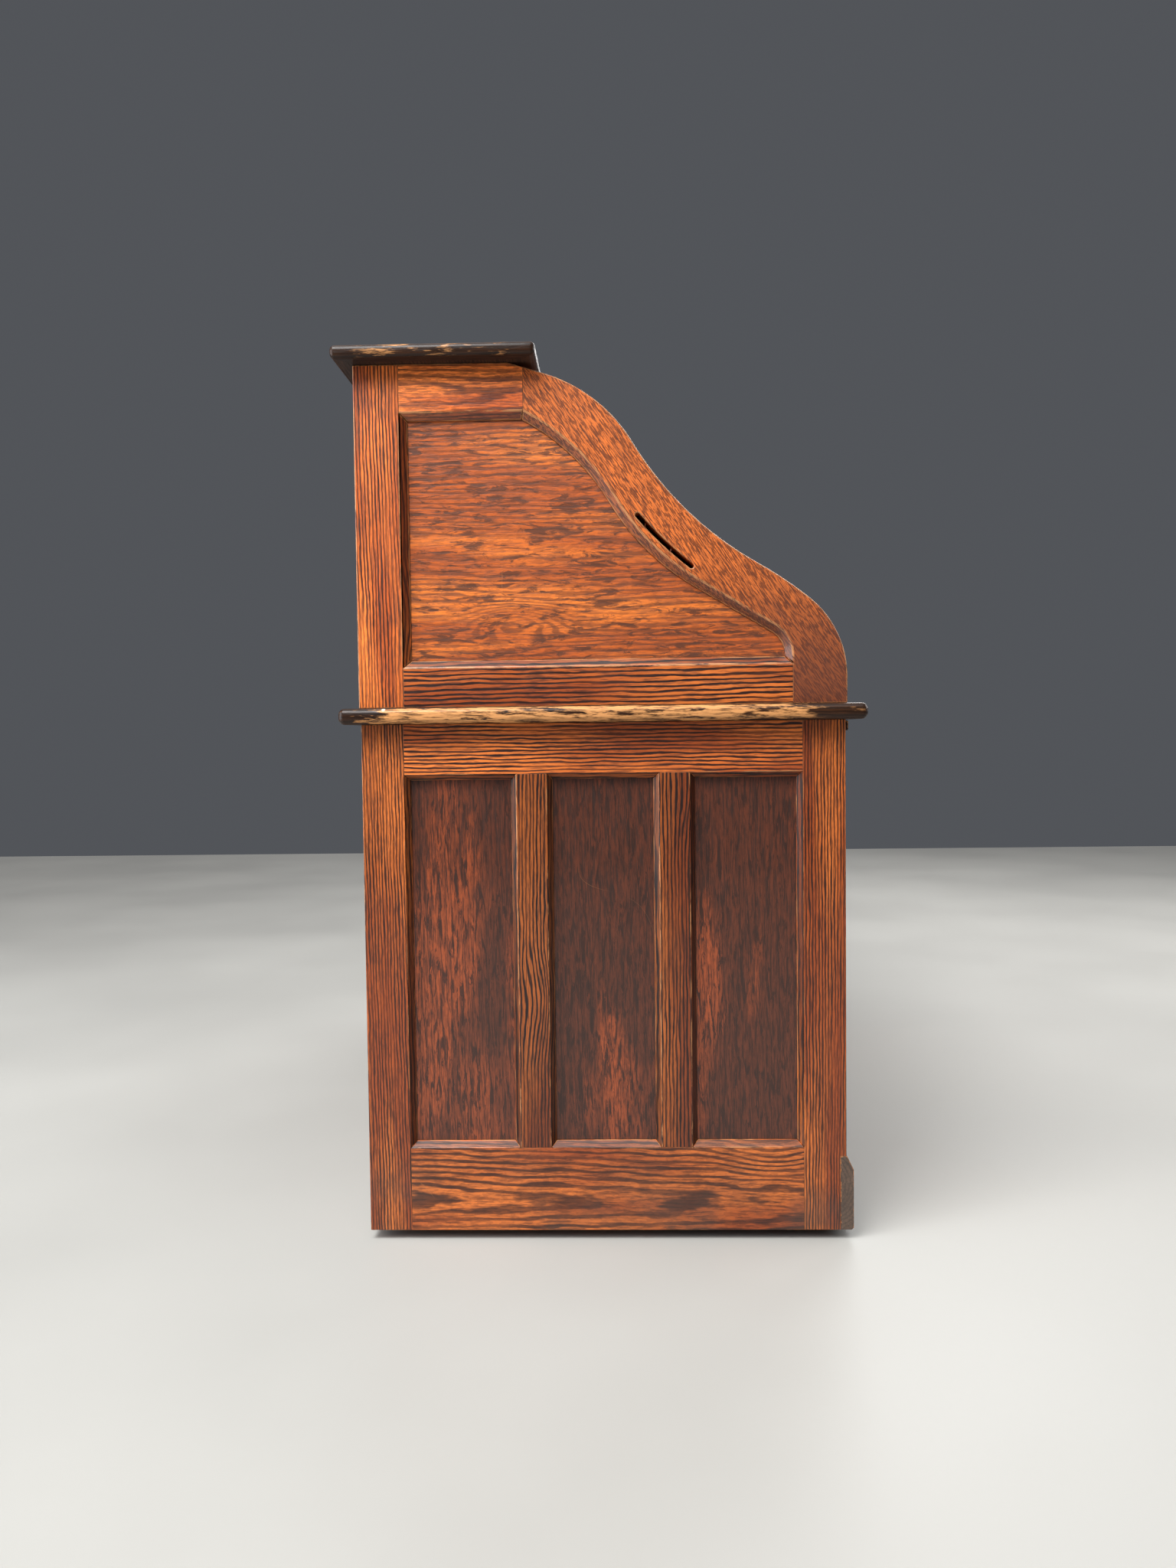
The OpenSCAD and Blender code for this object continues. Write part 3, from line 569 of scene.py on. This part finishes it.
def floor_material():
    """Pale, even floor with a faint mottle."""
    g = Graph("pale_floor")
    where = g.position()
    cloud = g.noise(where, (1.3, 1.3, 1.3), detail=5.0)
    grit = g.noise(where, (60, 60, 60), detail=2.0)
    g.bump(grit, 0.08, 0.001)
    colour = g.mix(cloud, rgb(0.315, 0.309, 0.289), rgb(0.37, 0.363, 0.340))
    g.surface(colour, g.step(cloud, 0.3, 0.7, 0.45, 0.6))
    return g.material


STAIN = dict(dark=(0.026, 0.007, 0.004), mid=(0.370, 0.070, 0.012), light=(0.740, 0.188, 0.034))
case_oak = oak("oak_case", **STAIN, lines=0.97, pores=0.6, mottle=0.15)
gable_panel_oak = oak("oak_gable_panel", dark=(0.060, 0.022, 0.012), mid=(0.390, 0.080, 0.014),
                      light=(0.700, 0.182, 0.028), spacing=0.0075, bend=0.055, knots=0.03, lines=0.7,
                      pores=0.4, mottle=0.85, streaks=(24, 120, 120))
end_panel_oak = oak("oak_end_panel", dark=(0.022, 0.009, 0.006), mid=(0.085, 0.022, 0.010),
                    light=(0.270, 0.056, 0.016), bend=0.03, lines=0.3, pores=0.75, mottle=0.9,
                    streaks=(26, 210, 210), cloud_size=(2.5, 11, 11), clouds=(0.48, 0.64), coat=0.4)
top_oak = oak("oak_top", dark=(0.014, 0.008, 0.005), mid=(0.055, 0.022, 0.011), light=(0.105, 0.040, 0.017),
              lines=0.5, pores=0.5, bare=(0.58, 0.265, 0.093), gloss=0.34, coat=0.15, chips=0.16,
              specular=0.15)
plinth_oak = oak("oak_plinth", dark=(0.040, 0.028, 0.022), mid=(0.075, 0.046, 0.031),
                 light=(0.115, 0.070, 0.047), gloss=0.45)
drawer_oak = oak("oak_drawer", **STAIN, lines=0.85, pores=0.45, mottle=0.25)
roll_oak = oak("oak_roll", **STAIN, lines=0.75, pores=0.5, mottle=0.2)
inner_oak = oak("oak_inner", dark=(0.08, 0.035, 0.016), mid=(0.36, 0.16, 0.065), light=(0.50, 0.25, 0.10),
                lines=0.55, pores=0.4, mottle=0.1, gloss=0.42, coat=0.05)
knob_oak = oak("oak_knob", dark=(0.020, 0.008, 0.006), mid=(0.130, 0.034, 0.014), light=(0.220, 0.060, 0.020),
               spacing=0.003, lines=0.5, gloss=0.2)
brass = metal("old_brass", (0.62, 0.42, 0.16), (0.20, 0.11, 0.05), 0.25)
iron = metal("dark_iron", (0.16, 0.15, 0.14), (0.07, 0.045, 0.03), 0.5)


# ---- the desk ----

def end_frame_cut(low, high):
    """Fine lines in the stiles, bold ones in the muntins, and a wild figure in the wide bottom rail."""
    widest_muntin, widest_top_rail = 0.065, 0.1
    size = high - low
    if size.z > size.y:
        return "fine" if size.y > widest_muntin else "bold"
    return "wild" if size.z > widest_top_rail else "lined"


def is_curved_stile(size):
    """Whether a gable's member of that size is the one that is both deep and high."""
    return min(size.y, size.z) > 0.3


def gable_grain(low, high):
    """The curved stile of a gable has its grain along the slope; the other members along their length."""
    size = high - low
    if is_curved_stile(size):
        return Vector((0, math.cos(GABLE_SLOPE), math.sin(GABLE_SLOPE)))
    return Z if size.z > size.y else Y


def gable_cut(low, high):
    """Flecks in the curved stile, pale fine lines in the back stile, and a light rail over a banded one."""
    size = high - low
    if is_curved_stile(size):
        return "flecked"
    if size.z > size.y:
        return "pale"
    above_panel = 1.1
    return "light" if low.z > above_panel else "banded"


for node in ("left_end_frame", "right_end_frame"):
    timber(node, case_oak, cut=end_frame_cut, sticking=STICKING_SHADE)
for node in ("left_gable", "right_gable"):
    # painted highlight: the gables' wider rounded edges with raised wear (0.5) show bare wood as a pale line
    # standing in for the highlight along the S-edge and sticking, over their real edge wear
    timber(node, case_oak, grain=gable_grain, cut=gable_cut, width=0.0018, worn=0.5, sticking=STICKING_SHADE)
timber("gable_panels", gable_panel_oak, grain=Y)
timber("end_panels", end_panel_oak, grain=Z)
for node in ("lower_back_frame", "upper_back_frame"):
    timber(node, case_oak, cut="bold", sticking=STICKING_SHADE)
for node in ("lower_back_panels", "upper_back_panels"):
    timber(node, end_panel_oak, grain=Z)
timber("kneehole_sides", drawer_oak, grain=Z)
timber("plinths", plinth_oak, grain=X)
for node in ("left_dust_boards", "right_dust_boards"):
    timber(node, drawer_oak, grain=X, cut="bold")
for node in ("centre_cleats", "gallery_case", "gallery_back_board", "gallery_partitions", "gallery_shelves"):
    timber(node, inner_oak)
for node in ("left_writing_slide", "right_writing_slide"):
    timber(node, top_oak, width=0.002)
for node in BODY_OF:
    if "drawer" in node:
        timber(node, drawer_oak, boards=by_drawer_part, width=0.0016)
    elif node.startswith("slats_"):
        timber(node, roll_oak, grain=X, boards=by_slat, width=0.0005)
    elif "knob" in node and "gallery" not in node:
        timber(node, knob_oak, grain=Y)
for node in ("gallery_knob_left", "gallery_knob_right", "roll_lock"):
    timber(node, brass, width=0.0004)
timber("lift_rail", roll_oak, grain=X, width=0.0025, segments=3)
timber("glides", iron)
slab("writing_top", top_oak, rounding=0.009, corner=0.009, kept=(0.080, 0.030), bareness=0.53)
slab("top_board", top_oak, rounding=0.0075, corner=0.007, kept=(0.015, 0.035), bareness=0.22)


# ---- floor, light and camera ----

def soft_light(name, location, target, size, power, colour=(1, 1, 1)):
    """A rectangular light at location that faces the target."""
    data = bpy.data.lights.new(name, "AREA")
    data.shape = "RECTANGLE"
    data.size, data.size_y = size
    data.energy = power
    data.color = colour
    light = bpy.data.objects.new(name, data)
    light.location = location
    light.rotation_euler = (Vector(target) - Vector(location)).to_track_quat("-Z", "Y").to_euler()
    bpy.context.scene.collection.objects.link(light)


def soft_sun(direction, strength):
    """Even light over the whole floor, from a wide patch of sky."""
    data = bpy.data.lights.new("sky", "SUN")
    data.energy = strength
    data.angle = math.radians(60)
    sun = bpy.data.objects.new("sky", data)
    sun.rotation_euler = Vector(direction).to_track_quat("-Z", "Y").to_euler()
    bpy.context.scene.collection.objects.link(sun)


def make_floor(half):
    """A square floor of twice that size, which isn't part of the desk."""
    mesh = bpy.data.meshes.new("floor")
    corners = [(-half, -half, 0), (half, -half, 0), (half, half, 0), (-half, half, 0)]
    mesh.from_pydata(corners, [], [(0, 1, 2, 3)])
    mesh.materials.append(floor_material())
    floor = bpy.data.objects.new("floor", mesh)
    bpy.context.scene.collection.objects.link(floor)


def turned(a, b, degrees):
    """Two directions at a right angle, turned in their plane so that a moves towards b."""
    cos, sin = math.cos(math.radians(degrees)), math.sin(math.radians(degrees))
    return a * cos + b * sin, b * cos - a * sin


def make_camera(location, yaw, pitch, roll, lens):
    """A camera that looks along +X, turned by the three small angles in degrees."""
    forward, right, down = X, -Y, -Z
    forward, right = turned(forward, right, yaw)
    forward, down = turned(forward, down, pitch)
    right, down = turned(right, down, roll)
    data = bpy.data.cameras.new("camera")
    data.lens = lens
    data.sensor_width = 36.0
    camera = bpy.data.objects.new("camera", data)
    turn = Matrix((right, -down, -forward)).transposed().to_4x4()
    camera.matrix_world = Matrix.Translation(location) @ turn
    bpy.context.scene.collection.objects.link(camera)
    bpy.context.scene.camera = camera


make_floor(5.0)
middle = Vector((0, 0, 0.65))
soft_light("ceiling", (0.3, 0.0, 3.3), middle, size=(3.4, 3.4), power=25)
soft_light("window", (-1.2, 2.7, 1.2), middle, size=(2.2, 2.2), power=75, colour=(0.92, 0.96, 1.0))
soft_light("key", (-2.2, 1.4, 3.6), middle, size=(2.2, 1.6), power=215)
soft_light("front", (0.6, -3.4, 2.2), middle, size=(2.6, 2.0), power=80)
soft_light("far_end", (3.0, -1.6, 3.0), middle, size=(2.0, 2.0), power=75)
soft_sun((0.5, -0.2, -0.84), strength=1.8)
world = bpy.data.worlds.new("plain")
world.use_nodes = True
world.node_tree.nodes["Background"].inputs["Color"].default_value = rgb(0.085, 0.09, 0.10)
world.node_tree.nodes["Background"].inputs["Strength"].default_value = 1.0
bpy.context.scene.world = world
bpy.context.scene.view_settings.view_transform = "Standard"
end_inset = 0.034        # from the top board's end in to the face of the end frame
distance = 1.6865        # from the camera to that face
end_face = cad_bounds[0][0] + end_inset
make_camera(Vector((end_face - distance, -0.0234, 0.737)), yaw=-1.509, pitch=2.458, roll=0.675, lens=27.05)
